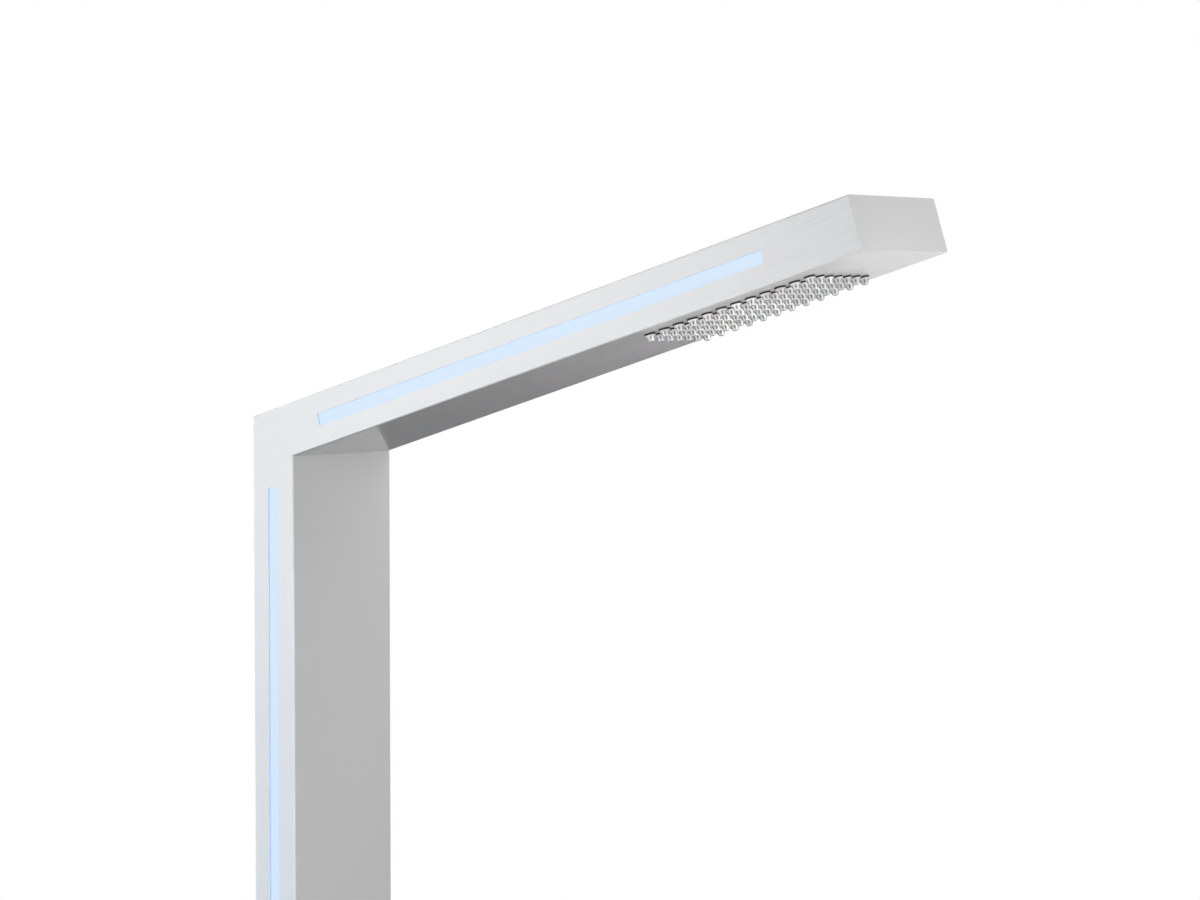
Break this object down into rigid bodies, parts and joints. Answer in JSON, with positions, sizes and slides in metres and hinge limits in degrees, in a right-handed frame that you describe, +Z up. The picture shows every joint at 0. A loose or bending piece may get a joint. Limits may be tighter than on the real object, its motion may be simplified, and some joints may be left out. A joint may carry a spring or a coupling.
{
  "type": "outdoor shower",
  "caption": "White outdoor shower column with a rising arm, light lines let into its sides, a field of soft nozzles under the arm's end and a single-lever mixer.",
  "frame": {"origin": "on the floor at the centre of the four anchor holes of the base plate", "axes": "+X the way the arm reaches, +Y across the column, +Z up"},
  "size_m": [0.7412, 0.24, 2.2991],
  "materials": {
    "white_lacquer": "satin",
    "stainless": "satin",
    "polished_stainless": "gloss",
    "brass": "satin",
    "black_rubber": "matte",
    "clear_silicone": "gloss",
    "frosted_diffuser": "satin",
    "anodised_aluminium": "satin",
    "grey_plastic": "matte",
    "white_plastic": "satin",
    "ceramic": "satin"
  },
  "bodies": {
    "frame": {"base_plate": "white_lacquer", "column_tube": "white_lacquer", "arm_tube": "white_lacquer", "arm_end_cap": "white_lacquer", "service_door": "white_lacquer", "foot_spigot": "stainless", "foot_screws": "stainless", "corner_gusset": "stainless", "end_cap_screws": "stainless", "door_frame": "stainless", "door_screws": "stainless", "hot_supply_pipe": "stainless", "cold_supply_pipe": "stainless", "riser_pipe": "stainless", "driver_studs": "stainless", "mixer_escutcheon": "polished_stainless", "mixer_ring_nut": "polished_stainless", "hot_stop_valve": "brass", "cold_stop_valve": "brass", "valve_nuts": "brass", "mixer_body": "brass", "cartridge_nut": "brass", "union_nut": "brass", "door_gasket": "black_rubber", "valve_washers": "black_rubber", "cartridge_seal": "black_rubber", "union_washer": "black_rubber", "chamber_packers": "black_rubber", "nozzle_gasket": "black_rubber", "nozzle_collars": "black_rubber", "gland_seal": "black_rubber", "corner_leads": "black_rubber", "driver_leads": "black_rubber", "spray_nozzles": "clear_silicone", "column_diffusers": "frosted_diffuser", "arm_diffusers": "frosted_diffuser", "column_light_channels": "anodised_aluminium", "arm_light_channels": "anodised_aluminium", "light_driver": "anodised_aluminium", "supply_pipe_clips": "grey_plastic", "riser_clips": "grey_plastic", "cable_gland": "grey_plastic", "gland_nut": "grey_plastic", "cartridge_housing": "grey_plastic", "head_chamber": "white_plastic", "spray_plate": "white_plastic", "column_light_boards": "white_plastic", "arm_light_boards": "white_plastic", "fixed_disc": "ceramic"},
    "guide": {"lever_guide": "white_plastic", "swivel_dome": "polished_stainless", "pivot_pin": "stainless"},
    "lever": {"lever_spindle": "stainless", "lever_handle": "polished_stainless", "handle_grub_screw": "stainless"},
    "mixing_disc": {"moving_disc": "ceramic", "disc_driver": "white_plastic"},
    "hot_plug": {"hot_valve_plug": "brass"},
    "cold_plug": {"cold_valve_plug": "brass"}
  },
  "joints": [
    {"name": "temperature_swivel", "type": "hinge", "parent": "frame", "child": "guide", "pos_m": [-0.035, 0, 1.1], "axis": [1, 0, 0], "range_deg": [-50, 50]},
    {"name": "flow_lift", "type": "hinge", "parent": "guide", "child": "lever", "pos_m": [-0.035, 0, 1.1], "axis": [0, -1, 0], "range_deg": [0, 25]},
    {"name": "disc_slide", "type": "slide", "parent": "guide", "child": "mixing_disc", "axis": [0, 0, -1], "range_m": [0, 0.00463]},
    {"name": "hot_stop_turn", "type": "hinge", "parent": "frame", "child": "hot_plug", "pos_m": [-0.058, -0.03, 0.15], "axis": [1, 0, 0], "range_deg": [0, 90]},
    {"name": "cold_stop_turn", "type": "hinge", "parent": "frame", "child": "cold_plug", "pos_m": [-0.058, 0.03, 0.15], "axis": [1, 0, 0], "range_deg": [0, 90]}
  ],
  "couplings": [
    {"joint": "disc_slide", "follows": "flow_lift", "m_per_rad": 0.010606}
  ]
}
